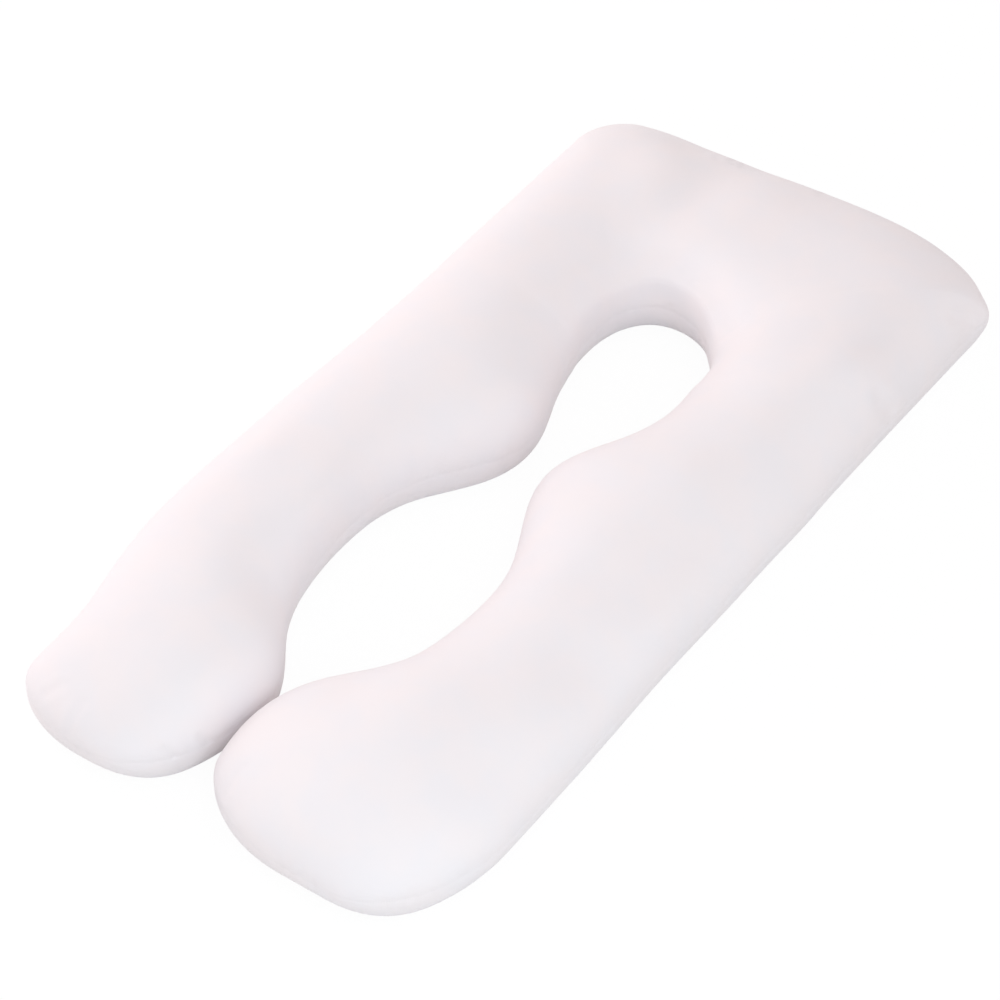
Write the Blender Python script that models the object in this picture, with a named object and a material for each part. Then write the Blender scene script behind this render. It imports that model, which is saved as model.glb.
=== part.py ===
"""A U-shaped body pillow: two panels of cloth sewn edge to edge, filled, with a keyhole opening."""

import math
from typing import NamedTuple

import bmesh
import bpy
import numpy as np

# All sizes are in metres. The closed end, for the head, points to +Y. The near leg is on the +X side.
# The tables are measured from a middle line between the legs, and the finished plan is centred on the
# origin. The pillow lies on its back panel, which is flat on z = 0.

# Outline
HOLE_CENTRE = 0.25
HOLE_REACH = 0.155
NEAR_HOLE_SQUARENESS = 1.65
FAR_HOLE_SQUARENESS = 2.5

# Filling
SEAM_HEIGHT = 0.062
CROWN_SHAPE = 2.2
SIDE_TUCK = 0.050
END_TUCK = 0.080

# Mesh
LEG_SECTIONS = 36
HEAD_SECTIONS = 46
POINTS_ACROSS = 17

# Cloth
COVER_COLOUR = (0.86, 0.81, 0.83)
COVER_ROUGHNESS = 0.85


class Section(NamedTuple):
    """One cut across both legs: the distance of each edge from the middle line, and each leg's crown."""

    y: float
    near_outer: float
    near_inner: float
    far_inner: float
    far_outer: float
    near_crown: float
    far_crown: float


SECTIONS = (
    Section(-0.70, 0.338, 0.002, 0.028, 0.306, 0.140, 0.135),
    Section(-0.62, 0.338, -0.020, 0.034, 0.308, 0.150, 0.140),
    Section(-0.54, 0.338, -0.027, 0.037, 0.310, 0.158, 0.148),
    Section(-0.46, 0.338, -0.001, 0.041, 0.327, 0.156, 0.150),
    Section(-0.38, 0.338, 0.062, 0.089, 0.342, 0.150, 0.148),
    Section(-0.30, 0.337, 0.088, 0.121, 0.349, 0.146, 0.142),
    Section(-0.22, 0.337, 0.094, 0.132, 0.349, 0.145, 0.140),
    Section(-0.14, 0.337, 0.081, 0.132, 0.346, 0.147, 0.142),
    Section(-0.06, 0.337, 0.045, 0.106, 0.342, 0.152, 0.150),
    Section(0.02, 0.336, 0.028, 0.052, 0.338, 0.156, 0.156),
    Section(0.10, 0.336, 0.063, 0.039, 0.335, 0.154, 0.156),
    Section(0.18, 0.337, 0.096, 0.064, 0.333, 0.152, 0.152),
    Section(HOLE_CENTRE, 0.338, 0.092, 0.088, 0.332, 0.152, 0.150),
)


class Foot(NamedTuple):
    """The end of a leg: where its tip lies, and the reach of its outer and inner corners along x and y."""

    tip: float
    outer_x: float
    outer_y: float
    inner_x: float
    inner_y: float


NEAR_FOOT = Foot(tip=-0.694, outer_x=0.135, outer_y=0.195, inner_x=0.150, inner_y=0.085)
FAR_FOOT = Foot(tip=-0.682, outer_x=0.125, outer_y=0.066, inner_x=0.140, inner_y=0.160)
FOOT_SLOPE = 0.15


class EdgePoint(NamedTuple):
    """A point that the head end's far edge passes through."""

    x: float
    y: float


HEAD_EDGE = (
    EdgePoint(-0.340, 0.670),
    EdgePoint(-0.240, 0.690),
    EdgePoint(-0.100, 0.697),
    EdgePoint(0.030, 0.703),
    EdgePoint(0.130, 0.706),
    EdgePoint(0.210, 0.699),
    EdgePoint(0.270, 0.681),
    EdgePoint(0.310, 0.657),
    EdgePoint(0.345, 0.618),
)
NEAR_CORNER_REACH = 0.010
FAR_CORNER_REACH = 0.065


class Swell(NamedTuple):
    """A soft rise (or, below zero, a hollow) of the filling, longer along its turned axis."""

    x: float
    y: float
    length: float
    width: float
    turn_deg: float
    rise: float


SWELLS = (
    Swell(-0.09, 0.60, 0.20, 0.050, 75, -0.009),
    Swell(-0.17, 0.34, 0.13, 0.055, 60, -0.006),
    Swell(0.20, -0.15, 0.12, 0.050, 20, -0.006),
    Swell(0.30, 0.05, 0.14, 0.050, 80, -0.005),
    Swell(-0.17, -0.28, 0.12, 0.060, 80, 0.005),
    Swell(0.18, -0.48, 0.14, 0.080, 40, 0.006),
    Swell(0.24, 0.30, 0.14, 0.090, 60, 0.005),
)


class Curve:
    """A smooth curve through a short table of values, straight at its ends, or level at the last one."""

    def __init__(self, at, values, level_end=False):
        self.at = np.asarray(at, dtype=float)
        self.values = np.asarray(values, dtype=float)
        count = len(self.at)
        gap = np.diff(self.at)
        slope = np.diff(self.values) / gap
        matrix = np.zeros((count, count))
        right = np.zeros(count)
        matrix[0, 0] = 1.0
        for i in range(1, count - 1):
            matrix[i, i - 1] = gap[i - 1]
            matrix[i, i] = 2.0 * (gap[i - 1] + gap[i])
            matrix[i, i + 1] = gap[i]
            right[i] = 6.0 * (slope[i] - slope[i - 1])
        matrix[-1, -1] = 2.0 * gap[-1]
        if level_end:
            matrix[-1, -2] = gap[-1]
            right[-1] = -6.0 * slope[-1]
        self.bend = np.linalg.solve(matrix, right)

    def __call__(self, where):
        where = np.clip(np.asarray(where, dtype=float), self.at[0], self.at[-1])
        i = np.clip(np.searchsorted(self.at, where) - 1, 0, len(self.at) - 2)
        gap = self.at[i + 1] - self.at[i]
        after = (where - self.at[i]) / gap
        before = 1.0 - after
        line = before * self.values[i] + after * self.values[i + 1]
        curve = (before**3 - before) * self.bend[i] + (after**3 - after) * self.bend[i + 1]
        return line + curve * gap**2 / 6.0


def column(name):
    """The named column of the section table as a smooth curve along y."""
    return Curve([row.y for row in SECTIONS], [getattr(row, name) for row in SECTIONS], level_end=True)


def corner_inset(distance, reach_x, reach_y):
    """How far an elliptical corner draws an edge in, this far from the tip."""
    left = np.clip(1.0 - distance / reach_y, 0.0, 1.0)
    return reach_x * (1.0 - np.sqrt(1.0 - left**2))


def leg_stations(foot):
    """Section places from a foot's tip up to the hole's centre, closer together round the tip."""
    round_count = 9
    turn = np.linspace(0.0, math.pi / 2, round_count + 1)[:-1]
    tip_part = foot.tip + FOOT_SLOPE * (1.0 - np.cos(turn))
    straight_part = np.linspace(foot.tip + FOOT_SLOPE, HOLE_CENTRE, LEG_SECTIONS - round_count)
    return np.concatenate([tip_part, straight_part])


def leg_sections(side, foot, outer, inner, crown):
    """Outer edge, inner edge, crown height and end fade of one leg, from its tip to the hole."""
    y = leg_stations(foot)
    from_tip = y - foot.tip
    x_outer = column(outer)(y) - corner_inset(from_tip, foot.outer_x, foot.outer_y)
    x_inner = column(inner)(y) + corner_inset(from_tip, foot.inner_x, foot.inner_y)
    outer_edge = np.stack([side * x_outer, y], axis=1)
    inner_edge = np.stack([side * x_inner, y], axis=1)
    return outer_edge, inner_edge, column(crown)(y), from_tip


def head_outline(angles):
    """Where rays from the hole's centre leave the head end, for angles from the near side to the far side."""
    edge = Curve([point.x for point in HEAD_EDGE], [point.y for point in HEAD_EDGE])
    near = angles < math.pi / 2
    width = np.where(near, SECTIONS[-1].near_outer, SECTIONS[-1].far_outer)
    corner = np.where(near, NEAR_CORNER_REACH, FAR_CORNER_REACH)
    across = np.cos(angles)
    along = np.sin(angles)
    low = np.zeros(len(angles))
    high = np.ones(len(angles))
    for _ in range(40):
        reach = 0.5 * (low + high)
        x = reach * across
        y = HOLE_CENTRE + reach * along
        past_side = np.maximum(0.0, np.abs(x) - width + corner) / corner
        past_edge = np.maximum(0.0, y - edge(x) + corner) / corner
        inside = past_side**2 + past_edge**2 < 1.0
        low = np.where(inside, reach, low)
        high = np.where(inside, high, reach)
    return np.stack([low * across, HOLE_CENTRE + low * along], axis=1)


def head_angles():
    """Angles of the fan of sections round the hole, closer together where the outline turns."""
    dense = np.linspace(0.0, math.pi, 721)
    step = np.diff(head_outline(dense), axis=0)
    length = np.linalg.norm(step, axis=1)
    heading = np.unwrap(np.arctan2(step[:, 1], step[:, 0]))
    turning = np.abs(np.diff(heading, prepend=heading[0]))
    share = 0.5 * length / length.sum() + 0.2 * turning / turning.sum() + 0.3 / len(length)
    measure = np.concatenate([[0.0], np.cumsum(share)])
    return np.interp(np.linspace(0.0, measure[-1], HEAD_SECTIONS + 2)[1:-1], measure, dense)


def head_sections():
    """Edges and crown heights of the fan of sections round the head hole, from the near leg to the far leg."""
    angles = head_angles()
    last = SECTIONS[-1]
    half_width = np.where(angles < math.pi / 2, last.near_inner, last.far_inner)
    power = 2.0 / np.where(angles < math.pi / 2, NEAR_HOLE_SQUARENESS, FAR_HOLE_SQUARENESS)
    x_inner = half_width * np.sign(np.cos(angles)) * np.abs(np.cos(angles)) ** power
    y_inner = HOLE_CENTRE + HOLE_REACH * np.sin(angles) ** power
    inner_edge = np.stack([x_inner, y_inner], axis=1)
    share = angles / math.pi
    crown = last.near_crown * (1.0 - share) + last.far_crown * share
    return head_outline(angles), inner_edge, crown, np.ones(len(angles))


def all_sections():
    """Every section in order along the U: near foot, head, far foot."""
    near = leg_sections(1.0, NEAR_FOOT, "near_outer", "near_inner", "near_crown")
    far = leg_sections(-1.0, FAR_FOOT, "far_outer", "far_inner", "far_crown")
    head = head_sections()
    return [np.concatenate([a, b, c[::-1]]) for a, b, c in zip(near, head, far)]


def swell_at(x, y):
    """The rise of all soft swells and hollows at a point of the plan."""
    total = np.zeros_like(x)
    for swell in SWELLS:
        turn = math.radians(swell.turn_deg)
        dx = x - swell.x
        dy = y - swell.y
        along = dx * math.cos(turn) + dy * math.sin(turn)
        across = -dx * math.sin(turn) + dy * math.cos(turn)
        total += swell.rise * np.exp(-((along / swell.length) ** 2) - (across / swell.width) ** 2)
    return total


def rounding(distance, reach, shape):
    """0 at an edge, 1 from the given reach inwards, rising like the side of a rounded corner."""
    left = 1.0 - np.clip(distance / reach, 0.0, 1.0)
    return (1.0 - left**shape) ** (1.0 / shape)


def pillow_points():
    """Points of the front and back panel, one row for each section, from the outer to the inner edge."""
    outer_edge, inner_edge, crown, from_tip = all_sections()
    across = -np.cos(np.linspace(0.0, math.pi, POINTS_ACROSS))
    share = (across + 1.0) / 2.0
    plan = outer_edge[:, None] * (1.0 - share)[None, :, None] + inner_edge[:, None] * share[None, :, None]
    width = np.linalg.norm(outer_edge - inner_edge, axis=1)[:, None]
    from_side = (1.0 - np.abs(across))[None, :] * width / 2.0
    end_fade = rounding(from_tip[:, None], FOOT_SLOPE, CROWN_SHAPE)
    profile = np.sqrt(1.0 - np.abs(across) ** CROWN_SHAPE)[None, :] * end_fade
    swell = swell_at(plan[..., 0], plan[..., 1])
    front = SEAM_HEIGHT + (crown[:, None] - SEAM_HEIGHT + swell) * profile
    tuck = rounding(from_side, SIDE_TUCK, 2.0) * rounding(from_tip[:, None], END_TUCK, 2.0)
    back = SEAM_HEIGHT * (1.0 - tuck)
    centred = plan - (plan.min(axis=(0, 1)) + plan.max(axis=(0, 1))) / 2.0
    return np.dstack([centred, front]), np.dstack([centred, back])


def build_pillow():
    """The filled body: front and back panels that share the points of their seam."""
    front, back = pillow_points()
    rows, columns = front.shape[:2]
    form = bmesh.new()
    top = [[form.verts.new(point) for point in row] for row in front]
    low = [list(row) for row in top]
    for i in range(1, rows - 1):
        for j in range(1, columns - 1):
            low[i][j] = form.verts.new(back[i, j])
    for i in range(rows - 1):
        for j in range(columns - 1):
            form.faces.new((top[i][j], top[i + 1][j], top[i + 1][j + 1], top[i][j + 1]))
            form.faces.new((low[i][j + 1], low[i + 1][j + 1], low[i + 1][j], low[i][j]))
    bmesh.ops.recalc_face_normals(form, faces=form.faces)
    for face in form.faces:
        face.smooth = True
    mesh = bpy.data.meshes.new("pillow")
    form.to_mesh(mesh)
    form.free()
    pillow = bpy.data.objects.new("pillow", mesh)
    bpy.context.collection.objects.link(pillow)
    return pillow


def cover_material():
    """Plain smooth cloth, white with a faint warm pink."""
    material = bpy.data.materials.new("cover")
    material.use_nodes = True
    shader = material.node_tree.nodes["Principled BSDF"]
    shader.inputs["Base Color"].default_value = (*COVER_COLOUR, 1.0)
    shader.inputs["Roughness"].default_value = COVER_ROUGHNESS
    shader.inputs["Metallic"].default_value = 0.0
    return material


def main():
    for thing in list(bpy.data.objects):
        bpy.data.objects.remove(thing, do_unlink=True)
    pillow = build_pillow()
    pillow.data.materials.append(cover_material())


main()
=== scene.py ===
"""Looks of the U-shaped body pillow: its sewn and filled cover, the knit it is cut from, and the studio round it."""

import logging
import math
from dataclasses import dataclass
from enum import Enum
from typing import NamedTuple

import bmesh
import bpy
import numpy as np
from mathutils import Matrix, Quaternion, Vector
from mathutils.kdtree import KDTree


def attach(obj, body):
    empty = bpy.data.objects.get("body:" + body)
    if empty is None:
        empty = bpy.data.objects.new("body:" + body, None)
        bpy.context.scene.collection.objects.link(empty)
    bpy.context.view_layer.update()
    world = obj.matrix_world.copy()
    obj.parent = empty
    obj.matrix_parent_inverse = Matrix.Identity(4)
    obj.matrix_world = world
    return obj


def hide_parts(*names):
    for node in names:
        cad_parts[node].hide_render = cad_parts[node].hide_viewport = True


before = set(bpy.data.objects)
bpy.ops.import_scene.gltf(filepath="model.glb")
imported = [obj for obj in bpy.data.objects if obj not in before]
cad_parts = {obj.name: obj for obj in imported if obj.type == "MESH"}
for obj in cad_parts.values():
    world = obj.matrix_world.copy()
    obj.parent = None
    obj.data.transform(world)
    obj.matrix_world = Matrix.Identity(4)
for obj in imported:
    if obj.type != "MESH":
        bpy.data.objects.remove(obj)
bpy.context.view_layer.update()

log = logging.getLogger("pillow")

norm = np.linalg.norm
Array = np.ndarray
Pair = tuple[float, float]
Triple = tuple[float, float, float]
Socket = bpy.types.NodeSocket
Source = Socket | float | tuple[float, ...]

# All sizes are in metres. The closed end, for the head, points to +Y, and the near leg is on the +X side.


class Side(Enum):
    """The two legs of the U, by the sign of their x."""

    NEAR = 1.0
    FAR = -1.0


class Section(NamedTuple):
    """One cut across both legs: the distance of each edge from the middle line, and each leg's crown."""

    y: float
    near_outer: float
    near_inner: float
    far_inner: float
    far_outer: float
    near_crown: float
    far_crown: float


class Foot(NamedTuple):
    """The end of a leg: where its tip lies, and the reach of its outer and inner corners along x and y."""

    tip: float
    outer_x: float
    outer_y: float
    inner_x: float
    inner_y: float


class EdgePoint(NamedTuple):
    """A point that the head end's far edge passes through."""

    x: float
    y: float


class HoleRay(NamedTuple):
    """How far the head hole's edge lies from its centre at one angle, 0 towards the near side."""

    angle_deg: float
    reach: float


class Swell(NamedTuple):
    """A soft rise (or, below zero, a hollow) of the filling, longer along its turned axis."""

    x: float
    y: float
    length: float
    width: float
    turn_deg: float
    rise: float


class Crease(NamedTuple):
    """A pinch in the cloth from one place to another, between two soft lips."""

    start: Triple
    end: Triple
    width: float
    depth: float


class Lamp(NamedTuple):
    """A round, soft lamp that faces the origin."""

    name: str
    place: Triple
    power: float
    colour: Triple


def table(kind: type, *rows: tuple) -> tuple:
    """Rows of one kind, from their values in the order of its fields."""
    return tuple(kind(*row) for row in rows)


class Curve:
    """A smooth curve through a short table of values, straight at its ends, or level at the last one."""

    def __init__(self, at: list[float], values: list[float], level_end: bool = False) -> None:
        """Works out the curve's bends.

        Args:
            at: Where the values stand, rising.
            values: The values there.
            level_end: Whether the curve is level at its last value.
        """
        self.at = np.asarray(at, dtype=float)
        self.values = np.asarray(values, dtype=float)
        count = len(self.at)
        gap = np.diff(self.at)
        slope = np.diff(self.values) / gap
        matrix = np.zeros((count, count))
        right = np.zeros(count)
        matrix[0, 0] = 1.0
        for i in range(1, count - 1):
            matrix[i, i - 1] = gap[i - 1]
            matrix[i, i] = 2.0 * (gap[i - 1] + gap[i])
            matrix[i, i + 1] = gap[i]
            right[i] = 6.0 * (slope[i] - slope[i - 1])
        matrix[-1, -1] = 2.0 * gap[-1]
        if level_end:
            matrix[-1, -2] = gap[-1]
            right[-1] = -6.0 * slope[-1]
        self.bend = np.linalg.solve(matrix, right)

    def __call__(self, where: Array) -> Array:
        """The curve's values at these places.

        Args:
            where: Places, of any shape, held within the table's ends.

        Returns:
            The values, in the same shape.
        """
        where = np.clip(np.asarray(where, dtype=float), self.at[0], self.at[-1])
        i = np.clip(np.searchsorted(self.at, where) - 1, 0, len(self.at) - 2)
        gap = self.at[i + 1] - self.at[i]
        after = (where - self.at[i]) / gap
        before = 1.0 - after
        line = before * self.values[i] + after * self.values[i + 1]
        curve = (before**3 - before) * self.bend[i] + (after**3 - after) * self.bend[i + 1]
        return line + curve * gap**2 / 6.0


class Strip(NamedTuple):
    """Sections of the U in order: both edges of each, its crown height, and its distance from the leg's tip."""

    outer: Array
    inner: Array
    crown: Array
    from_tip: Array


def corner_inset(distance: Array, reach_x: float, reach_y: float) -> Array:
    """How far an elliptical corner of these two reaches draws an edge in, this far from the leg's tip."""
    left = np.clip(1.0 - distance / reach_y, 0.0, 1.0)
    return reach_x * (1.0 - np.sqrt(1.0 - left**2))


def hump(distance: Array, width: float) -> Array:
    """1 at no distance, falling softly to 0 past this width."""
    return np.exp(-((distance / width) ** 2))


def rounding(distance: Array, reach: float, shape: float) -> Array:
    """0 at an edge, 1 from the given reach inwards; the rise is round for shape 2, and squarer above it."""
    left = 1.0 - np.clip(distance / reach, 0.0, 1.0)
    return (1.0 - left**shape) ** (1.0 / shape)


@dataclass
class Outline:
    """The cut of the U: its edges, its rounded feet and the fan of sections round the head hole."""

    hole_centre: float = 0.25
    hole_edge: tuple[HoleRay, ...] = table(
        HoleRay,
        (12, 0.098), (25, 0.1035), (40, 0.1095), (58, 0.1165),
        (75, 0.13), (90, 0.1405), (104, 0.147), (116, 0.144),
        (130, 0.128), (148, 0.1045), (165, 0.09),
    )
    near_corner_reach: float = 0.010
    far_corner_reach: float = 0.065
    foot_slope: float = 0.15
    tip_sections: int = 22
    leg_sections: int = 122
    head_sections: int = 128
    head_rays: int = 1441
    halvings: int = 40
    length_share: float = 0.65
    turning_share: float = 0.1
    even_share: float = 0.25
    near_foot: Foot = Foot(tip=-0.689, outer_x=0.135, outer_y=0.195, inner_x=0.150, inner_y=0.085)
    far_foot: Foot = Foot(tip=-0.682, outer_x=0.138, outer_y=0.068, inner_x=0.140, inner_y=0.180)
    head_edge: tuple[EdgePoint, ...] = table(
        EdgePoint,
        (-0.34, 0.67), (-0.24, 0.69), (-0.1, 0.697),
        (0.03, 0.703), (0.13, 0.706), (0.21, 0.699),
        (0.27, 0.681), (0.31, 0.657), (0.345, 0.618),
    )
    sections: tuple[Section, ...] = table(
        Section,
        (-0.7, 0.338, 0.002, 0.028, 0.311, 0.14, 0.135),
        (-0.62, 0.338, -0.02, 0.034, 0.312, 0.15, 0.14),
        (-0.54, 0.338, -0.027, 0.037, 0.312, 0.158, 0.148),
        (-0.46, 0.338, -0.001, 0.041, 0.327, 0.156, 0.15),
        (-0.38, 0.338, 0.062, 0.0915, 0.342, 0.15, 0.148),
        (-0.3, 0.337, 0.088, 0.1245, 0.349, 0.146, 0.142),
        (-0.22, 0.335, 0.094, 0.1355, 0.349, 0.145, 0.14),
        (-0.14, 0.334, 0.081, 0.1335, 0.346, 0.147, 0.142),
        (-0.06, 0.335, 0.045, 0.106, 0.342, 0.152, 0.15),
        (0.02, 0.336, 0.028, 0.052, 0.338, 0.156, 0.156),
        (0.1, 0.336, 0.066, 0.039, 0.335, 0.154, 0.156),
        (0.18, 0.337, 0.0935, 0.066, 0.333, 0.152, 0.152),
        (0.25, 0.336, 0.0945, 0.083, 0.332, 0.152, 0.15),
    )

    def column(self, name: str) -> Curve:
        """The named column of the section table as a smooth curve along y."""
        level_end = not name.endswith("inner")
        return Curve([row.y for row in self.sections], [getattr(row, name) for row in self.sections], level_end)

    def leg(self, side: Side) -> Strip:
        """The sections of one leg, from its tip to the hole's centre, closer together round the tip.

        Args:
            side: Which leg.

        Returns:
            The leg's sections.
        """
        foot = self.near_foot if side is Side.NEAR else self.far_foot
        name = side.name.lower()
        turn = np.linspace(0.0, math.pi / 2, self.tip_sections + 1)[:-1]
        tip_part = foot.tip + self.foot_slope * (1.0 - np.cos(turn))
        count = self.leg_sections - self.tip_sections
        straight_part = np.linspace(foot.tip + self.foot_slope, self.hole_centre, count)
        y = np.concatenate([tip_part, straight_part])
        from_tip = y - foot.tip
        x_outer = self.column(name + "_outer")(y) - corner_inset(from_tip, foot.outer_x, foot.outer_y)
        x_inner = self.column(name + "_inner")(y) + corner_inset(from_tip, foot.inner_x, foot.inner_y)
        outer = np.stack([side.value * x_outer, y], axis=1)
        inner = np.stack([side.value * x_inner, y], axis=1)
        return Strip(outer, inner, self.column(name + "_crown")(y), from_tip)

    def head_outline(self, angles: Array) -> Array:
        """Where rays from the hole's centre leave the head end.

        Args:
            angles: Ray angles, 0 towards the near side and pi towards the far side.

        Returns:
            One point of the plan for each ray.
        """
        edge = Curve([point.x for point in self.head_edge], [point.y for point in self.head_edge])
        near = angles < math.pi / 2
        width = np.where(near, self.sections[-1].near_outer, self.sections[-1].far_outer)
        corner = np.where(near, self.near_corner_reach, self.far_corner_reach)
        across = np.cos(angles)
        along = np.sin(angles)
        low = np.zeros(len(angles))
        high = np.ones(len(angles))
        for _ in range(self.halvings):
            reach = 0.5 * (low + high)
            x = reach * across
            y = self.hole_centre + reach * along
            past_side = np.maximum(0.0, np.abs(x) - width + corner) / corner
            past_edge = np.maximum(0.0, y - edge(x) + corner) / corner
            inside = past_side**2 + past_edge**2 < 1.0
            low = np.where(inside, reach, low)
            high = np.where(inside, high, reach)
        return np.stack([low * across, self.hole_centre + low * along], axis=1)

    def head_angles(self) -> Array:
        """Angles of the fan of sections round the hole, closer together where the outline turns."""
        dense = np.linspace(0.0, math.pi, self.head_rays)
        step = np.diff(self.head_outline(dense), axis=0)
        length = norm(step, axis=1)
        heading = np.unwrap(np.arctan2(step[:, 1], step[:, 0]))
        turning = np.abs(np.diff(heading, prepend=heading[0]))
        share = self.length_share * length / length.sum() + self.turning_share * turning / turning.sum()
        share += self.even_share / len(length)
        measure = np.concatenate([[0.0], np.cumsum(share)])
        return np.interp(np.linspace(0.0, measure[-1], self.head_sections + 2)[1:-1], measure, dense)

    def hole_reach(self, angles: Array) -> Array:
        """How far the head hole's edge lies from its centre at these angles, from 0 to pi."""
        last = self.sections[-1]
        at = [0.0, *(ray.angle_deg for ray in self.hole_edge), 180.0]
        reach = [last.near_inner, *(ray.reach for ray in self.hole_edge), last.far_inner]
        return Curve(at, reach)(np.degrees(angles))

    def head(self) -> Strip:
        """The fan of sections round the head hole, from the near leg to the far leg."""
        angles = self.head_angles()
        last = self.sections[-1]
        reach = self.hole_reach(angles)
        share = angles / math.pi
        crown = last.near_crown * (1.0 - share) + last.far_crown * share
        inner = np.stack([reach * np.cos(angles), self.hole_centre + reach * np.sin(angles)], axis=1)
        return Strip(self.head_outline(angles), inner, crown, np.ones(len(angles)))

    def centre(self) -> Array:
        """The middle of the outline's box, which becomes the origin."""
        edges = np.concatenate(self.strip()[:2])
        return (edges.min(axis=0) + edges.max(axis=0)) / 2.0

    def strip(self) -> Strip:
        """Every section in order along the U: near foot, head, far foot."""
        near = self.leg(Side.NEAR)
        far = self.leg(Side.FAR)
        return Strip(*(np.concatenate([a, b, c[::-1]]) for a, b, c in zip(near, self.head(), far)))


def swell_at(x: Array, y: Array, swells: tuple[Swell, ...]) -> Array:
    """The rise of soft swells and hollows over the plan.

    Args:
        x: Places across.
        y: Places along.
        swells: The swells to add up.

    Returns:
        The rise at each place.
    """
    total = np.zeros_like(x)
    for swell in swells:
        turn = math.radians(swell.turn_deg)
        dx = x - swell.x
        dy = y - swell.y
        along = dx * math.cos(turn) + dy * math.sin(turn)
        across = -dx * math.sin(turn) + dy * math.cos(turn)
        total += swell.rise * np.exp(-((along / swell.length) ** 2) - (across / swell.width) ** 2)
    return total


def rows_of(items: bpy.types.bpy_prop_collection, field: str) -> Array:
    """A vector field of a mesh's vertices, one row each."""
    flat = np.zeros(len(items) * 3)
    items.foreach_get(field, flat)
    return flat.reshape(-1, 3)


def reshape(mesh: bpy.types.Mesh, points: Array) -> None:
    """Moves a mesh's vertices to these points."""
    mesh.vertices.foreach_set("co", points.ravel())
    mesh.update()


def placed(name: str, data: bpy.types.ID) -> bpy.types.Object:
    """Puts new data in the scene as an object of this name."""
    thing = bpy.data.objects.new(name, data)
    bpy.context.scene.collection.objects.link(thing)
    return thing


def shaped(name: str, form: bmesh.types.BMesh) -> bpy.types.Object:
    """Puts a finished form in the scene as a mesh of this name, and lets go of the form."""
    mesh = bpy.data.meshes.new(name)
    form.to_mesh(mesh)
    form.free()
    return placed(name, mesh)


class SeamLine:
    """The line where the two panels meet, walked once round the cover."""

    def __init__(self, form: bmesh.types.BMesh) -> None:
        """Walks the seam of a cover whose seam's edges are marked."""
        first = next(edge for edge in form.edges if edge.seam)
        walked = list(first.verts)
        used = {first}
        while walked[-1] is not walked[0]:
            edge = next(edge for edge in walked[-1].link_edges if edge.seam and edge not in used)
            used.add(edge)
            walked.append(edge.other_vert(walked[-1]))
        self.points = np.array([vert.co[:] for vert in walked])
        steps = norm(np.diff(self.points, axis=0), axis=1)
        self.along = np.concatenate([[0.0], np.cumsum(steps)])
        self.length = float(self.along[-1])
        x, y = self.points[:, 0], self.points[:, 1]
        self.turning = math.copysign(1.0, np.sum(x[:-1] * y[1:] - x[1:] * y[:-1]))
        self.tree = KDTree(len(self.points) - 1)
        for i, point in enumerate(self.points[:-1]):
            self.tree.insert(point, i)
        self.tree.balance()

    def outward(self, along: Array, reach: float) -> Array:
        """Level ways out of the cover at these lengths along the seam, across its run to this far either side."""
        ends = [(along + step) % self.length for step in (-reach, reach)]
        run = [np.interp(ends[1], self.along, field) - np.interp(ends[0], self.along, field) for field in self.points.T]
        out = np.stack([run[1], -run[0], np.zeros(len(along))], axis=1) * self.turning
        return out / norm(out, axis=1)[:, None]

    def nearest(self, points: Array) -> tuple[Array, Array]:
        """Finds how far along the seam, and how far from it, each point lies.

        Args:
            points: One point a row.

        Returns:
            The length along the seam, and the distance from it: above zero over it, below zero under it.
        """
        count = len(self.points) - 1
        index = np.array([self.tree.find(point)[1] for point in points])
        best = np.full(len(points), np.inf)
        along = np.zeros(len(points))
        over = np.zeros(len(points))
        for i in (index, (index - 1) % count):
            step = self.points[i + 1] - self.points[i]
            share = np.sum((points - self.points[i]) * step, axis=1) / np.sum(step * step, axis=1)
            share = np.clip(share, 0.0, 1.0)
            foot = self.points[i] + step * share[:, None]
            distance = norm(points - foot, axis=1)
            closer = distance < best
            best = np.where(closer, distance, best)
            along = np.where(closer, self.along[i] + share * (self.along[i + 1] - self.along[i]), along)
            over = np.where(closer, points[:, 2] - foot[:, 2], over)
        return along, np.where(over < 0.0, -best, best)


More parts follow.
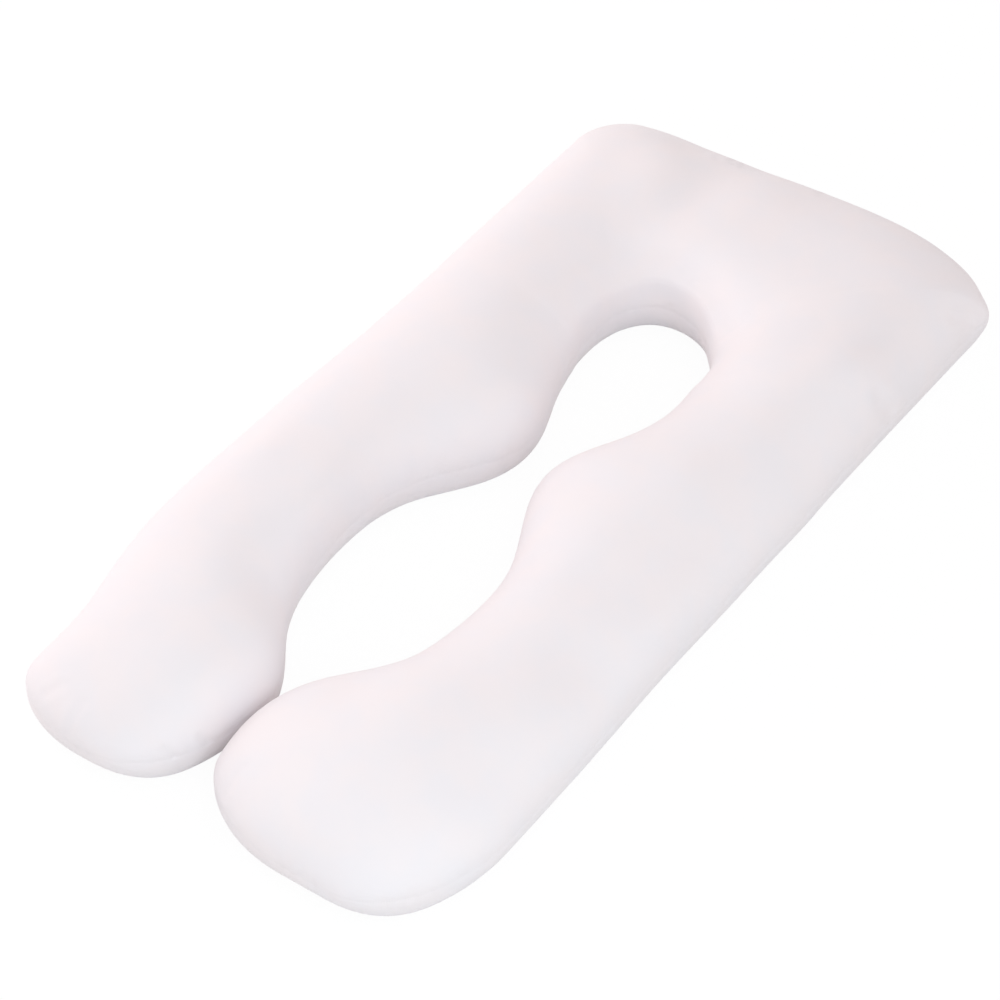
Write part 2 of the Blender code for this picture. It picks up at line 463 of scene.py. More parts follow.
@dataclass
class FilledCover:
    """The pillow itself: two panels of knit sewn edge to edge and filled, resting on its back panel."""

    outline: Outline
    name: str = "filled_cover"
    seam_height: float = 0.062
    crown_shape: float = 2.2
    side_tuck: float = 0.050
    end_tuck: float = 0.080
    panels_across: int = 26
    edge_match: float = 1e-6
    finest_edge: float = 0.0010
    tip_rim: float = 0.020
    swells: tuple[Swell, ...] = table(
        Swell,
        (-0.095, 0.53, 0.16, 0.05, 77, -0.01), (-0.17, 0.34, 0.13, 0.055, 60, -0.006),
        (0.2, -0.15, 0.12, 0.05, 20, -0.006), (0.3, 0.05, 0.14, 0.05, 80, -0.005),
        (-0.17, -0.28, 0.12, 0.06, 80, 0.005), (0.18, -0.48, 0.14, 0.08, 40, 0.006),
        (0.24, 0.3, 0.14, 0.09, 60, 0.005),
    )
    lumps: tuple[Swell, ...] = table(
        Swell,
        (-0.14, 0.53, 0.085, 0.05, 110, 0.0065), (-0.2, 0.25, 0.11, 0.04, 90, 0.0025),
        (-0.07, 0.085, 0.045, 0.035, 0, 0.003), (-0.15, -0.215, 0.08, 0.038, 95, 0.013),
        (-0.27, -0.2, 0.07, 0.035, 90, 0.0025), (-0.08, -0.56, 0.08, 0.06, 70, 0.006),
        (0.175, -0.64, 0.08, 0.05, 10, 0.0065), (0.175, -0.44, 0.09, 0.04, 90, 0.0035),
        (0.172, -0.16, 0.075, 0.045, 70, 0.007), (0.322, -0.12, 0.075, 0.028, 90, 0.0075),
        (0.21, 0.06, 0.05, 0.04, 100, 0.0035), (0.29, 0.36, 0.075, 0.048, 60, 0.011),
        (0.19, 0.45, 0.06, 0.04, 30, 0.0025), (-0.13, 0.25, 0.08, 0.03, 90, -0.002),
        (-0.13, -0.02, 0.05, 0.045, 0, -0.003), (-0.13, -0.375, 0.06, 0.042, 120, -0.008),
        (-0.25, -0.44, 0.07, 0.05, 90, -0.0025), (-0.215, -0.62, 0.06, 0.05, 0, -0.004),
        (0.285, -0.5, 0.08, 0.04, 90, -0.006), (0.085, -0.465, 0.055, 0.035, 90, -0.006),
        (-0.15, 0.64, 0.045, 0.045, 0, -0.006), (0.285, -0.27, 0.065, 0.05, 90, -0.008),
        (0.255, -0.05, 0.06, 0.035, 60, -0.003), (0.11, -0.025, 0.045, 0.04, 0, -0.003),
        (0.32, 0.195, 0.06, 0.042, 90, -0.0075), (0.155, 0.235, 0.055, 0.045, 90, -0.007),
        (0.06, 0.62, 0.08, 0.04, 0, -0.003), (0.25, 0.61, 0.06, 0.04, 0, -0.0025),
    )
    lump_fade: float = 0.035
    hole_crown_shape: float = 3.2
    hole_ridge_rise: float = 0.008
    hole_ridge_from_edge: float = 0.011
    hole_ridge_width: float = 0.0075
    hole_dip_share: float = 0.55
    hole_dip_off: float = 2.6
    hole_dip_widening: float = 1.3
    hole_edge_fade: float = 0.003
    hole_turns: tuple[float, ...] = (-40.0, 0.0, 45.0, 75.0, 110.0, 160.0, 180.0)
    hole_shares: tuple[float, ...] = (0.0, 0.15, 0.5, 1.0, 0.95, 0.5, 0.2)
    crest_rise: float = 0.0018
    crest_width: float = 0.0035
    crest_lowest: float = 0.09
    crest_dip_share: float = 0.4
    crest_dip_off: float = 2.2
    crest_turns: tuple[float, ...] = (55.0, 75.0, 110.0, 150.0, 172.0)
    crest_shares: tuple[float, ...] = (0.0, 1.0, 1.0, 0.6, 0.0)
    start_inset: float = 0.001
    pressure: float = 4.0
    shrink: float = -0.01
    quality: int = 5
    cloth_mass: float = 0.3
    stretch_stiffness: float = 15.0
    shear_stiffness: float = 5.0
    bend_stiffness: float = 3.0
    hold: float = 0.3
    frames: int = 20
    fill_share: float = 0.5
    calm_rounds: int = 12
    most_move: float = 0.006
    seam_band_percent: float = 40.0
    seam_band_cuts: int = 4
    unfold_rounds: int = 24
    fold_angle: float = 0.5
    groove_depth: float = 0.0004
    groove_width: float = 0.0024
    draw_in_depth: float = 0.0007
    draw_in_width: float = 0.012
    level_reach: float = 0.012
    pucker_seed: int = 11
    pucker_spacing: float = 0.021
    pucker_places: Pair = (0.15, 0.85)
    pucker_depth: float = 0.0008
    pucker_depths: Pair = (0.1, 1.0)
    pucker_depth_bias: float = 1.5
    pucker_widths: Pair = (0.0035, 0.0065)
    pucker_reach: float = 0.016
    pucker_reaches: Pair = (0.5, 1.6)
    pucker_leans: Pair = (-0.35, 0.35)
    pucker_end: float = 4.0
    ear: Triple = (0.338, 0.612, 0.062)
    ear_pull: Triple = (0.007, 0.001, 0.004)
    ear_reach: float = 0.024
    crease_margin: float = 0.03
    lip_share: float = 0.45
    lip_off: float = 1.8
    lip_width: float = 0.9
    creases: tuple[Crease, ...] = table(
        Crease,
        ((-0.076, -0.641, 0.08), (-0.07, -0.635, 0.063), 0.0032, 0.002),
        ((-0.051, -0.602, 0.082), (-0.046, -0.593, 0.064), 0.0032, 0.002),
        ((-0.24, -0.664, 0.092), (-0.226, -0.652, 0.112), 0.006, 0.0009),
        ((-0.19, -0.68, 0.075), (-0.186, -0.655, 0.105), 0.006, 0.0009),
        ((0.042, -0.655, 0.08), (0.052, -0.625, 0.11), 0.006, 0.0014),
        ((-0.112, 0.64, 0.13), (-0.104, 0.63, 0.136), 0.0035, 0.0015),
        ((-0.095, 0.652, 0.125), (-0.086, 0.636, 0.13), 0.0035, 0.0016),
        ((-0.078, 0.655, 0.122), (-0.07, 0.64, 0.127), 0.0035, 0.0015),
        ((0.046, 0.662, 0.122), (0.058, 0.642, 0.13), 0.004, 0.0012),
        ((0.336, 0.578, 0.085), (0.33, 0.545, 0.105), 0.006, 0.0014),
        ((0.332, 0.352, 0.106), (0.338, 0.366, 0.082), 0.014, 0.0024),
    )

    def panel_points(self) -> tuple[Array, Array]:
        """Points of the front and back panels.

        Returns:
            Both panels, one row for each section, from the outer to the inner edge.
        """
        strip = self.outline.strip()
        across = -np.cos(np.linspace(0.0, math.pi, self.panels_across + 1))
        share = ((across + 1.0) / 2.0)[None, :, None]
        plan = strip.outer[:, None] * (1.0 - share) + strip.inner[:, None] * share
        width = norm(strip.outer - strip.inner, axis=1)[:, None]
        from_side = (1.0 - np.abs(across))[None, :] * width / 2.0
        from_tip = strip.from_tip[:, None]
        end_fade = rounding(from_tip, self.outline.foot_slope, self.crown_shape)
        by_hole = self.hole_share(strip.inner)[:, None] * (across > 0.0)
        shape = self.crown_shape + (self.hole_crown_shape - self.crown_shape) * by_hole
        profile = np.sqrt(1.0 - np.abs(across) ** shape) * end_fade
        swell = swell_at(plan[..., 0], plan[..., 1], self.swells)
        front = self.seam_height + (strip.crown[:, None] - self.seam_height + swell) * profile
        front += self.hole_ridge(strip.inner, (1.0 - across)[None, :] * width / 2.0)
        lump_share = rounding(from_side, self.lump_fade, 2.0) * rounding(from_tip, self.lump_fade, 2.0)
        front += lump_share * swell_at(plan[..., 0], plan[..., 1], self.lumps)
        tuck = rounding(from_side, self.side_tuck, 2.0) * rounding(from_tip, self.end_tuck, 2.0)
        back = self.seam_height * (1.0 - tuck)
        centred = plan - self.outline.centre()
        return np.dstack([centred, front]), np.dstack([centred, back])

    def hole_share(self, inner: Array) -> Array:
        """How crisp the edge above the head hole's wall is, by each section's inner point: 1 at the head end."""
        turn = np.degrees(np.arctan2(inner[:, 1] - self.outline.hole_centre, inner[:, 0]))
        return np.interp(turn, self.hole_turns, self.hole_shares)

    def hole_ridge(self, inner: Array, from_edge: Array) -> Array:
        """The crisp edge that the filling makes above the wall of the head hole.

        Args:
            inner: The inner edge's points, one for each section.
            from_edge: The distance from that edge of each point of the panel.

        Returns:
            The rise at each point of the panel.
        """
        crest = hump(from_edge - self.hole_ridge_from_edge, self.hole_ridge_width)
        dip_from_edge = self.hole_dip_off * self.hole_ridge_from_edge
        dip = hump(from_edge - dip_from_edge, self.hole_dip_widening * self.hole_ridge_width)
        rise = self.hole_ridge_rise * self.hole_share(inner)[:, None]
        return rise * (crest - self.hole_dip_share * dip) * (1.0 - hump(from_edge, self.hole_edge_fade))

    def crest(self, points: Array) -> Array:
        """The fine line where the cloth turns over the edge of the hole's wall.

        Args:
            points: The finished cover's points.

        Returns:
            The rise at each point.
        """
        x, y = (points[:, :2] + self.outline.centre() - (0.0, self.outline.hole_centre)).T
        turn = np.arctan2(y, x)
        edge = self.outline.hole_reach(np.clip(turn, 0.0, math.pi))
        off = np.hypot(x, y) - edge - self.hole_ridge_from_edge
        share = np.interp(np.degrees(turn), self.crest_turns, self.crest_shares)
        line = hump(off, self.crest_width)
        line -= self.crest_dip_share * hump(off - self.crest_dip_off * self.crest_width, self.crest_width)
        return self.crest_rise * share * line * (points[:, 2] > self.crest_lowest)

    def flat_cut(self, panel: Array) -> Array:
        """Where each point of a panel lies on the flat cloth, by the length over the filling from its middle.

        Args:
            panel: The panel's points, one row for each section.

        Returns:
            A place on the cloth in metres for each point.
        """
        step = norm(np.diff(panel, axis=1), axis=2)
        length = np.concatenate([np.zeros((len(panel), 1)), np.cumsum(step, axis=1)], axis=1)
        middle = self.panels_across // 2
        across = panel[:, -1, :2] - panel[:, 0, :2]
        across /= norm(across, axis=1)[:, None]
        return panel[:, middle, None, :2] + across[:, None] * (length - length[:, middle, None])[..., None]

    def sew(self) -> bpy.types.Object:
        """Lays two grids over the filling, front and back, and sews them along their edges.

        Returns:
            The closed shell, with the flat cut as its UV map.
        """
        front, back = self.panel_points()
        rows = len(front) - 1
        form = bmesh.new()
        cut = form.loops.layers.uv.new("cloth")
        sides = form.faces.layers.int.new("panel")
        for panel, upwards in ((front, True), (back, False)):
            flat = self.flat_cut(panel)
            made = bmesh.ops.create_grid(form, x_segments=rows, y_segments=self.panels_across, size=1.0)
            faces = {face for vert in made["verts"] for face in vert.link_faces}
            if upwards:
                bmesh.ops.reverse_faces(form, faces=list(faces))
            place = {}
            for vert in made["verts"]:
                i = round((vert.co.x + 1.0) / 2.0 * rows)
                j = round((vert.co.y + 1.0) / 2.0 * self.panels_across)
                place[vert] = (i, j)
            for face in faces:
                face[sides] = int(upwards)
                for loop in face.loops:
                    loop[cut].uv = flat[place[loop.vert]]
            for vert, at in place.items():
                vert.co = panel[at]
        rim = [vert for vert in form.verts if vert.is_boundary]
        bmesh.ops.remove_doubles(form, verts=rim, dist=self.edge_match)
        for edge in form.edges:
            edge.seam = len({face[sides] for face in edge.link_faces}) == 2
        lowest = min(vert.co.y for vert in form.verts) + self.tip_rim
        tips = {vert for edge in form.edges if edge.seam for vert in edge.verts if vert.co.y < lowest}
        bmesh.ops.remove_doubles(form, verts=sorted(tips, key=lambda vert: vert.index), dist=self.finest_edge)
        bmesh.ops.recalc_face_normals(form, faces=form.faces)
        for edge in form.edges:
            edge.seam = len({face[sides] for face in edge.link_faces}) == 2
        return shaped(self.name, form)

    def fill(self, cover: bpy.types.Object) -> None:
        """Blows the shell up in a short cloth simulation, and takes the result, held close, as its shape.

        Args:
            cover: The sewn shell.
        """
        mesh = cover.data
        shape = rows_of(mesh.vertices, "co")
        reshape(mesh, shape - self.start_inset * rows_of(mesh.vertices, "normal"))
        held = cover.vertex_groups.new(name="held")
        held.add(list(range(len(shape))), self.hold, "REPLACE")
        cloth = cover.modifiers.new("filling", "CLOTH")
        settings = cloth.settings
        settings.quality = self.quality
        settings.mass = self.cloth_mass
        settings.tension_stiffness = settings.compression_stiffness = self.stretch_stiffness
        settings.shear_stiffness = self.shear_stiffness
        settings.bending_stiffness = self.bend_stiffness
        settings.use_pressure = True
        settings.uniform_pressure_force = self.pressure
        settings.shrink_min = self.shrink
        settings.vertex_group_mass = held.name
        settings.effector_weights.gravity = 0.0
        cloth.collision_settings.use_collision = False
        cloth.point_cache.frame_start = 1
        cloth.point_cache.frame_end = self.frames
        scene = bpy.context.scene
        for step in range(1, self.frames + 1):
            scene.frame_set(step)
        filled = cover.evaluated_get(bpy.context.evaluated_depsgraph_get())
        blown = rows_of(filled.to_mesh().vertices, "co")
        filled.to_mesh_clear()
        cover.modifiers.remove(cloth)
        cover.vertex_groups.remove(held)
        scene.frame_set(1)
        move = blown - shape
        length = norm(move, axis=1)
        move *= np.minimum(1.0, self.most_move / np.maximum(length, 1e-9))[:, None]
        move = self.calmed(mesh, move)
        settled = shape + self.fill_share * move
        settled[:, 2] = np.maximum(settled[:, 2], 0.0)
        reshape(mesh, settled)
        log.info("%s: filled, moved %.1f mm at most", self.name, 1000.0 * norm(move, axis=1).max())

    def calmed(self, mesh: bpy.types.Mesh, move: Array) -> Array:
        """Evens the simulation's moves out between neighbours, so that no sharp crease is left.

        Args:
            mesh: The shell.
            move: One move for each of its vertices.

        Returns:
            The evened moves.
        """
        ends = np.zeros(len(mesh.edges) * 2, dtype=np.int32)
        mesh.edges.foreach_get("vertices", ends)
        first, second = ends.reshape(-1, 2).T
        count = np.bincount(ends, minlength=len(move))[:, None]
        for _ in range(self.calm_rounds):
            total = np.zeros_like(move)
            np.add.at(total, first, move[second])
            np.add.at(total, second, move[first])
            move = 0.5 * move + 0.5 * total / count
        return move

    def refine(self, cover: bpy.types.Object) -> None:
        """Subdivides the filled cover once and takes the finer mesh as its own."""
        finer = cover.modifiers.new("finer", "SUBSURF")
        finer.levels = 1
        finer.render_levels = 1
        coarse = cover.data
        evaluated = cover.evaluated_get(bpy.context.evaluated_depsgraph_get())
        cover.data = bpy.data.meshes.new_from_object(evaluated)
        cover.data.name = self.name
        cover.modifiers.clear()
        bpy.data.meshes.remove(coarse)

    def close_seam(self, cover: bpy.types.Object) -> None:
        """Cuts a narrow band along the seam, sinks it, and gathers the cloth in small puckers beside it.

        Args:
            cover: The subdivided cover.
        """
        form = bmesh.new()
        form.from_mesh(cover.data)
        line = SeamLine(form)
        bmesh.ops.bevel(
            form, geom=[edge for edge in form.edges if edge.seam], offset=self.seam_band_percent,
            offset_type="PERCENT", affect="EDGES", segments=self.seam_band_cuts, profile=0.5, material=-1,
            clamp_overlap=True,
        )
        form.normal_update()
        points = np.array([vert.co[:] for vert in form.verts])
        normal = np.array([vert.normal[:] for vert in form.verts])
        along, apart = line.nearest(points)
        distance = np.abs(apart)
        sink = self.groove_depth * hump(distance, self.groove_width)
        sink += self.draw_in_depth * hump(distance, self.draw_in_width)
        sink += self.puckers(line, along, apart)
        level = np.clip((self.level_reach - distance) / (self.level_reach / 2.0), 0.0, 1.0)[:, None]
        way = level * line.outward(along, self.level_reach / 3.0) + (1.0 - level) * normal
        points = points - way * sink[:, None]
        points[:, 2] = np.maximum(points[:, 2], 0.0)
        place = form.loops.layers.uv.new("seam_place")
        for vert, point in zip(form.verts, points):
            vert.co = point
        self.unfold(form)
        for face in form.faces:
            face.smooth = True
            lengths = [along[loop.vert.index] for loop in face.loops]
            wraps = max(lengths) - min(lengths) > line.length / 2.0
            for loop, length in zip(face.loops, lengths):
                whole = line.length if wraps and length < line.length / 2.0 else 0.0
                loop[place].uv = (length + whole, apart[loop.vert.index])
        form.to_mesh(cover.data)
        form.free()

    def unfold(self, form: bmesh.types.BMesh) -> None:
        """Evens out the few places at the feet's tips where the seam's band folds over itself.

        Args:
            form: The cover with its band.
        """
        for _ in range(self.unfold_rounds):
            folds = [edge for edge in form.edges if edge.calc_face_angle(0.0) > self.fold_angle]
            if not folds:
                break
            folded = {vert for edge in folds for vert in edge.verts}
            near = {end for vert in folded for edge in vert.link_edges for end in edge.verts}
            verts = [vert for vert in form.verts if vert in near]
            bmesh.ops.smooth_vert(form, verts=verts, factor=0.5, use_axis_x=True, use_axis_y=True, use_axis_z=True)

    def puckers(self, line: SeamLine, along: Array, apart: Array) -> Array:
        """Small uneven gathers across the seam.

        Args:
            line: The seam.
            along: How far along the seam each point lies.
            apart: How far from the seam each point lies.

        Returns:
            How deep the cloth sinks at each point.
        """
        chance = np.random.default_rng(self.pucker_seed)
        count = int(line.length / self.pucker_spacing)
        places = (np.arange(count) + chance.uniform(*self.pucker_places, count)) * line.length / count
        depths = self.pucker_depth * chance.uniform(*self.pucker_depths, count) ** self.pucker_depth_bias
        widths = chance.uniform(*self.pucker_widths, count)
        reaches = self.pucker_reach * chance.uniform(*self.pucker_reaches, count)
        leans = chance.uniform(*self.pucker_leans, count)
        near = np.abs(apart) < self.pucker_end * self.pucker_reach
        here = along[near]
        away = apart[near]
        total = np.zeros(len(here))
        half = line.length / 2.0
        for place, depth, width, reach, lean in zip(places, depths, widths, reaches, leans):
            from_pucker = (here - place - lean * away + half) % line.length - half
            total += depth * np.exp(-((from_pucker / width) ** 2) - np.abs(away) / reach)
        sink = np.zeros(len(along))
        sink[near] = total
        return sink

    def pinch(self, cover: bpy.types.Object) -> None:
        """Pulls the corner out to its point and presses the creases in, each between two soft lips.

        Args:
            cover: The cover with its seam.
        """
        mesh = cover.data
        points = rows_of(mesh.vertices, "co")
        normal = rows_of(mesh.vertices, "normal")
        from_ear = norm(points - np.array(self.ear), axis=1)
        points += hump(from_ear, self.ear_reach)[:, None] * np.array(self.ear_pull)
        points += normal * self.crest(points)[:, None]
        for crease in self.creases:
            ends = [points[np.argmin(norm(points - end, axis=1))] for end in (crease.start, crease.end)]
            run = ends[1] - ends[0]
            share = (points - ends[0]) @ run / (run @ run)
            off = points - ends[0] - np.clip(share, 0.0, 1.0)[:, None] * run
            off -= np.sum(off * normal, axis=1)[:, None] * normal
            from_middle = norm(points - (ends[0] + ends[1]) / 2.0, axis=1)
            close = from_middle < norm(run) + self.crease_margin
            across = norm(off, axis=1) / crease.width
            fold = np.exp(-(across**2)) - self.lip_share * hump(across - self.lip_off, self.lip_width)
            points -= normal * (crease.depth * fold * close)[:, None]
        points[:, 2] = np.maximum(points[:, 2], 0.0)
        reshape(mesh, points)

    def build(self) -> bpy.types.Object:
        """Sews, fills and finishes the cover, and returns it undressed."""
        cover = self.sew()
        self.fill(cover)
        self.refine(cover)
        self.close_seam(cover)
        self.pinch(cover)
        return cover


class Nodes:
    """A node tree with short ways to add and join its nodes."""

    def __init__(self, tree: bpy.types.NodeTree) -> None:
        """Takes the tree to work in."""
        self.tree = tree

    def add(self, kind: str, inputs: dict[str | int, Source] | None = None, **settings: object) -> bpy.types.Node:
        """Adds a node of this kind, and gives it its inputs, by name or number, and its own settings."""
        node = self.tree.nodes.new(kind)
        for name, value in settings.items():
            setattr(node, name, value)
        self.feed(node, inputs or {})
        return node

    def feed(self, node: bpy.types.Node, inputs: dict[str | int, Source]) -> None:
        """Sets or links several inputs of a node, by name or number."""
        for name, source in inputs.items():
            self.join(source, node.inputs[name])

    def join(self, source: Source, socket: Socket) -> None:
        """Links a socket to an output, or sets it to a value."""
        if isinstance(source, Socket):
            self.tree.links.new(source, socket)
        else:
            socket.default_value = source

    def sum(self, operation: str, *terms: Source) -> Socket:
        """Works out one step of arithmetic with a Math node, and returns the result's socket."""
        node = self.add("ShaderNodeMath", operation=operation)
        for term, socket in zip(terms, node.inputs):
            self.join(term, socket)
        return node.outputs[0]

    def between(self, shape: str, value: Socket, ends: Pair) -> Socket:
        """Where a value lies between two ends, 0 to 1, by a Map Range node of this shape."""
        inputs = {"From Min": ends[0], "From Max": ends[1], "Value": value}
        return self.add("ShaderNodeMapRange", inputs, interpolation_type=shape).outputs["Result"]

    def blend(self, kind: str, share: Socket, first: Source, second: Source) -> Socket:
        """Mixes two colours with a Mix node of this kind, by the second one's share."""
        colours = [(*colour, 1.0) if isinstance(colour, tuple) else colour for colour in (first, second)]
        inputs = {"Factor": share, 6: colours[0], 7: colours[1]}
        return self.add("ShaderNodeMix", inputs, data_type="RGBA", blend_type=kind).outputs[2]


def group(
    name: str, place: str, numbers: tuple[str, ...], results: tuple[str, ...]
) -> tuple[bpy.types.NodeTree, Nodes, bpy.types.Node, bpy.types.Node]:
    """Makes a node group from a place and some numbers to other numbers.

    Args:
        name: The group's name.
        place: The name of its vector input.
        numbers: The names of its number inputs.
        results: The names of its number outputs.

    Returns:
        The group, a way to add nodes to it, and its input and output nodes.
    """
    tree = bpy.data.node_groups.new(name, "ShaderNodeTree")
    tree.interface.new_socket(name=place, in_out="INPUT", socket_type="NodeSocketVector")
    for titles, way in ((numbers, "INPUT"), (results, "OUTPUT")):
        for title in titles:
            tree.interface.new_socket(name=title, in_out=way, socket_type="NodeSocketFloat")
    nodes = Nodes(tree)
    return tree, nodes, nodes.add("NodeGroupInput"), nodes.add("NodeGroupOutput")


@dataclass(frozen=True)
class Knit:
    """Smooth white jersey with a faint pink cast, with painted shade along its seam and in the valleys between its
    loops.
    """

    colour: Triple = (0.949, 0.879, 0.889)
    cool_colour: Triple = (0.928, 0.876, 0.896)
    # Colour of the painted shade in the valleys between the loops and in the seam's groove.
    painted_shade_colour: Triple = (0.80, 0.745, 0.765)
    wale: float = 0.0011
    course: float = 0.0009
    loop_slant: float = 1.3
    yarn_share: float = 0.7
    yarn_floor: float = 0.3
    loop_height: float = 0.00005
    # How far the painted shade darkens the valleys between the loops.
    loop_painted_shade: float = 0.10
    patch_size: float = 0.055
    patch_detail: float = 2.0
    patch_softness: float = 0.45
    patch_range: Pair = (0.30, 0.70)
    roughness: float = 0.85
    roughness_change: float = 0.06
    sheen: float = 0.3
    # Painted shade in the seam's groove: how far from the seam it reaches, and how strong it is.
    groove_reach: float = 0.0022
    groove_painted_shade: float = 0.05
    tick: float = 0.0032
    tick_depth: float = 0.00008
    tick_range: Pair = (0.0045, 0.0005)

    def loops(self) -> bpy.types.NodeTree:
        """Columns of slanting loops, as in the face of plain jersey.

        Returns:
            A group from a place on the cloth to the loops' height, 0 to 1.
        """
        tree, nodes, start, end = group("jersey_loops", "Place", ("Wale", "Course"), ("Height",))
        split = nodes.add("ShaderNodeSeparateXYZ", {0: start.outputs["Place"]})
        column = nodes.sum("FRACT", nodes.sum("DIVIDE", split.outputs[0], start.outputs["Wale"]))
        from_middle = nodes.sum("ABSOLUTE", nodes.sum("SUBTRACT", column, 0.5))
        leg_off = nodes.sum("MULTIPLY", nodes.sum("SUBTRACT", from_middle, 0.25), 4.0)
        leg = nodes.sum("SUBTRACT", 1.0, nodes.sum("MULTIPLY", leg_off, leg_off))
        course = nodes.sum("DIVIDE", split.outputs[1], start.outputs["Course"])
        slant = nodes.sum("MULTIPLY_ADD", from_middle, self.loop_slant, course)
        yarn_off = nodes.sum("MULTIPLY_ADD", nodes.sum("FRACT", slant), 2.0, -1.0)
        yarn = nodes.sum("SUBTRACT", 1.0, nodes.sum("MULTIPLY", yarn_off, yarn_off))
        raised = nodes.sum("MULTIPLY_ADD", yarn, self.yarn_share, self.yarn_floor)
        nodes.join(nodes.sum("MULTIPLY", leg, raised), end.inputs["Height"])
        return tree

    def patches(self) -> bpy.types.NodeTree:
        """Slow, soft change over the surface.

        Returns:
            A group from a place to a value, 0 to 1, that changes over the given size.
        """
        tree, nodes, start, end = group("soft_patches", "Place", ("Size",), ("Value",))
        inputs = {"Vector": start.outputs["Place"], "Scale": nodes.sum("DIVIDE", 1.0, start.outputs["Size"])}
        inputs |= {"Detail": self.patch_detail, "Roughness": self.patch_softness}
        noise = nodes.add("ShaderNodeTexNoise", inputs, noise_dimensions="3D")
        value = nodes.between("SMOOTHSTEP", noise.outputs["Fac"], self.patch_range)
        nodes.join(value, end.inputs["Value"])
        return tree

    def seam(self) -> bpy.types.NodeTree:
        """The share of painted shade in the seam's groove, and the short ticks that its stitches pull into the cloth.

        Returns:
            A group from a place by the seam to the painted shade's share in the groove and the ticks' depth, both 0 to
            1.
        """
        tree, nodes, start, end = group("seam_shade_and_ticks", "Seam Place", ("Tick",), ("Painted_Shade", "Ticks"))
        split = nodes.add("ShaderNodeSeparateXYZ", {0: start.outputs["Seam Place"]})
        distance = nodes.sum("ABSOLUTE", split.outputs[1])
        groove = nodes.between("SMOOTHERSTEP", distance, (self.groove_reach, 0.0))
        beside = nodes.between("SMOOTHERSTEP", distance, self.tick_range)
        turn = nodes.sum("MULTIPLY", nodes.sum("DIVIDE", split.outputs[0], start.outputs["Tick"]), 2.0 * math.pi)
        wave = nodes.sum("MULTIPLY_ADD", nodes.sum("COSINE", turn), 0.5, 0.5)
        nodes.join(groove, end.inputs["Painted_Shade"])
        nodes.join(nodes.sum("MULTIPLY", wave, beside), end.inputs["Ticks"])
        return tree

    def material(self) -> bpy.types.Material:
        """Builds the cloth's material.

        Returns:
            The material, which reads the cover's cloth and seam_place maps.
        """
        material = bpy.data.materials.new("cover_knit")
        material.use_nodes = True
        nodes = Nodes(material.node_tree)
        here = nodes.add("ShaderNodeTexCoord").outputs["Object"]
        cloth = nodes.add("ShaderNodeUVMap", uv_map="cloth").outputs["UV"]
        by_seam = nodes.add("ShaderNodeUVMap", uv_map="seam_place").outputs["UV"]
        knitted = {"Place": cloth, "Wale": self.wale, "Course": self.course}
        loops = nodes.add("ShaderNodeGroup", knitted, node_tree=self.loops()).outputs["Height"]
        changing = {"Place": here, "Size": self.patch_size}
        patches = nodes.add("ShaderNodeGroup", changing, node_tree=self.patches()).outputs["Value"]
        sewn = {"Seam Place": by_seam, "Tick": self.tick}
        seam = nodes.add("ShaderNodeGroup", sewn, node_tree=self.seam())
        dyed = nodes.blend("MIX", patches, self.colour, self.cool_colour)
        # Painted shade: the valleys between the loops are darkened towards the shade colour.
        valley_painted_shade = nodes.sum("MULTIPLY", nodes.sum("SUBTRACT", 1.0, loops), self.loop_painted_shade)
        knit = nodes.blend("MULTIPLY", valley_painted_shade, dyed, self.painted_shade_colour)
        # Painted shade: the seam's groove is darkened towards the shade colour.
        painted_groove_shade = nodes.sum("MULTIPLY", seam.outputs["Painted_Shade"], self.groove_painted_shade)
        least_rough = self.roughness - self.roughness_change / 2.0
        height = nodes.sum("MULTIPLY", loops, self.loop_height)
        height = nodes.sum("MULTIPLY_ADD", seam.outputs["Ticks"], -self.tick_depth, height)
        bump = nodes.add("ShaderNodeBump", {"Distance": 1.0, "Height": height})
        nodes.feed(material.node_tree.nodes["Principled BSDF"], {
            "Base Color": nodes.blend("MIX", painted_groove_shade, knit, self.painted_shade_colour),
            "Roughness": nodes.sum("MULTIPLY_ADD", patches, self.roughness_change, least_rough),
            "Sheen Weight": self.sheen,
            "Normal": bump.outputs["Normal"],
        })
        return material


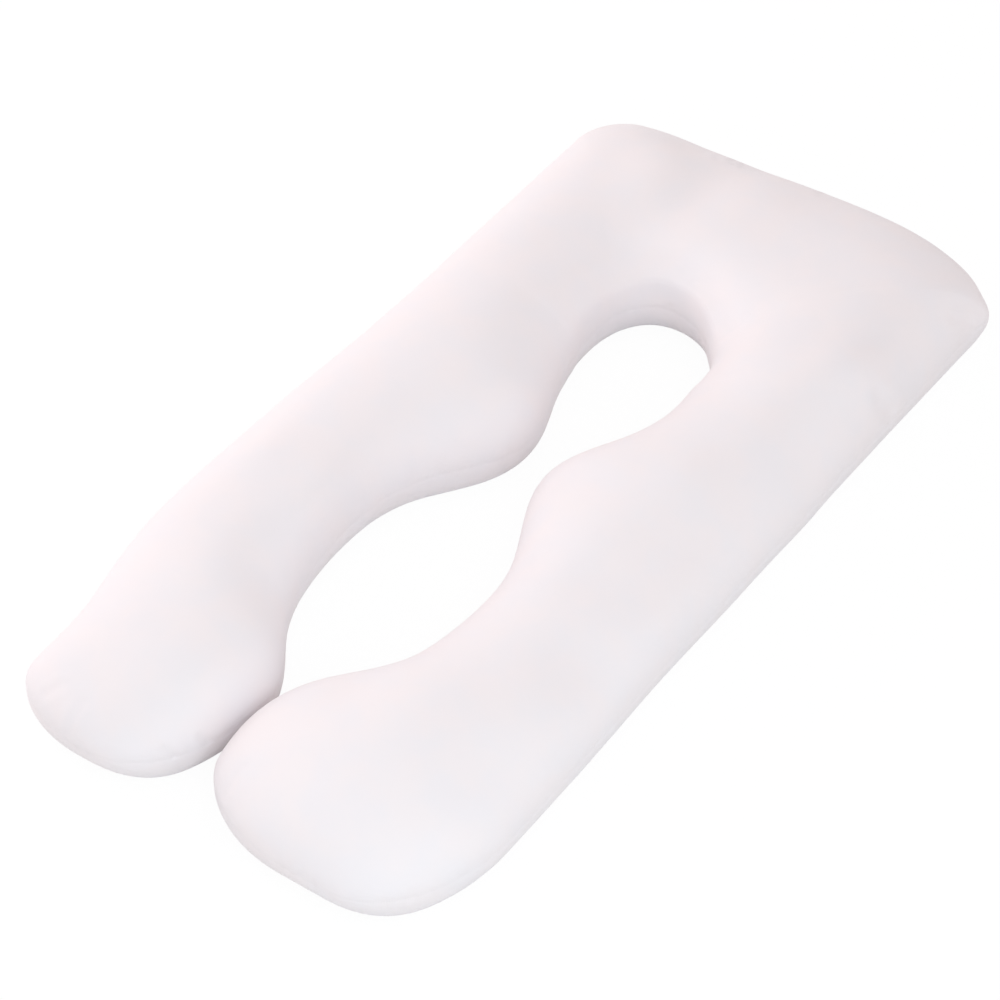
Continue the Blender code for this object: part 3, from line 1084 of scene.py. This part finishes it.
@dataclass
class Studio:
    """A white floor, soft light, white surroundings and the camera."""

    target: Triple = (-0.0069, -0.0395, 0.0520)
    azimuth_deg: float = 36.51
    elevation_deg: float = 44.49
    roll_deg: float = -1.415
    distance: float = 4.5985
    lens: float = 126.67
    sensor: float = 36.0
    clip: Pair = (0.1, 100.0)
    floor_half: float = 12.0
    floor_grey: float = 0.85
    floor_roughness: float = 0.9
    backdrop_strength: float = 1.02
    floor_glow_share: float = 0.93
    sky_colour: Triple = (1.0, 0.945, 0.940)
    sky_strength: float = 0.725
    lamp_size: float = 2.2
    lamps: tuple[Lamp, ...] = table(
        Lamp,
        ("key", (-3.42, 0.0, 1.11), 50.0, (1.0, 0.970, 0.975)),
        ("fill", (1.80, -1.80, 2.55), 34.5, (0.76, 0.945, 1.0)),
        ("side", (2.42, -2.42, 1.11), 5.5, (0.50, 0.90, 1.0)),
    )

    def camera(self) -> bpy.types.Object:
        """Sets the camera at the photograph's angle."""
        data = bpy.data.cameras.new("camera")
        data.lens = self.lens
        data.sensor_width = self.sensor
        data.clip_start, data.clip_end = self.clip
        camera = placed("camera", data)
        azimuth = math.radians(self.azimuth_deg)
        elevation = math.radians(self.elevation_deg)
        level = math.cos(elevation)
        back = Vector((math.sin(azimuth) * level, -math.cos(azimuth) * level, math.sin(elevation)))
        roll = Quaternion((0.0, 0.0, 1.0), math.radians(self.roll_deg))
        camera.rotation_mode = "QUATERNION"
        camera.rotation_quaternion = back.to_track_quat("Z", "Y") @ roll
        camera.location = Vector(self.target) + back * self.distance
        bpy.context.scene.camera = camera
        return camera

    def floor(self) -> bpy.types.Object:
        """Lays the floor, which also glows a little, for the camera alone, so that it looks white."""
        form = bmesh.new()
        bmesh.ops.create_grid(form, x_segments=1, y_segments=1, size=self.floor_half)
        floor = shaped("floor", form)
        material = bpy.data.materials.new("floor_white")
        material.use_nodes = True
        nodes = Nodes(material.node_tree)
        shader = material.node_tree.nodes["Principled BSDF"]
        grey = (self.floor_grey, self.floor_grey, self.floor_grey, 1.0)
        nodes.feed(shader, {"Base Color": grey, "Roughness": self.floor_roughness})
        glow = nodes.add("ShaderNodeEmission", {"Strength": self.backdrop_strength})
        seen = nodes.add("ShaderNodeLightPath").outputs["Is Camera Ray"]
        share = nodes.sum("MULTIPLY", seen, self.floor_glow_share)
        mix = nodes.add("ShaderNodeMixShader", {0: share, 1: shader.outputs[0], 2: glow.outputs[0]})
        nodes.join(mix.outputs[0], material.node_tree.nodes["Material Output"].inputs["Surface"])
        floor.data.materials.append(material)
        return floor

    def light(self) -> None:
        """Hangs the lamps and whitens the surroundings."""
        world = bpy.data.worlds.new("studio_white")
        bpy.context.scene.world = world
        world.use_nodes = True
        nodes = Nodes(world.node_tree)
        soft = world.node_tree.nodes["Background"]
        nodes.feed(soft, {"Color": (*self.sky_colour, 1.0), "Strength": self.sky_strength})
        backdrop = nodes.add("ShaderNodeBackground", {"Strength": self.backdrop_strength})
        seen = nodes.add("ShaderNodeLightPath").outputs["Is Camera Ray"]
        mix = nodes.add("ShaderNodeMixShader", {0: seen, 1: soft.outputs[0], 2: backdrop.outputs[0]})
        nodes.join(mix.outputs[0], world.node_tree.nodes["World Output"].inputs["Surface"])
        for lamp in self.lamps:
            data = bpy.data.lights.new(lamp.name, "AREA")
            data.shape = "DISK"
            data.size = self.lamp_size
            data.energy = lamp.power
            data.color = lamp.colour
            hung = placed(lamp.name, data)
            hung.location = lamp.place
            hung.rotation_mode = "QUATERNION"
            hung.rotation_quaternion = Vector(lamp.place).to_track_quat("Z", "Y")
        bpy.context.scene.view_settings.view_transform = "Standard"


def main() -> None:
    """Builds the cover, dresses it, and sets the studio."""
    logging.basicConfig(level=logging.INFO, format="%(name)s: %(message)s")
    cover = FilledCover(Outline()).build()
    cover.data.materials.append(Knit().material())
    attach(cover, "root")
    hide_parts("pillow")
    log.info("%s: %d faces", cover.name, len(cover.data.polygons))
    studio = Studio()
    studio.camera()
    studio.floor()
    studio.light()


if __name__ == "__main__":
    main()
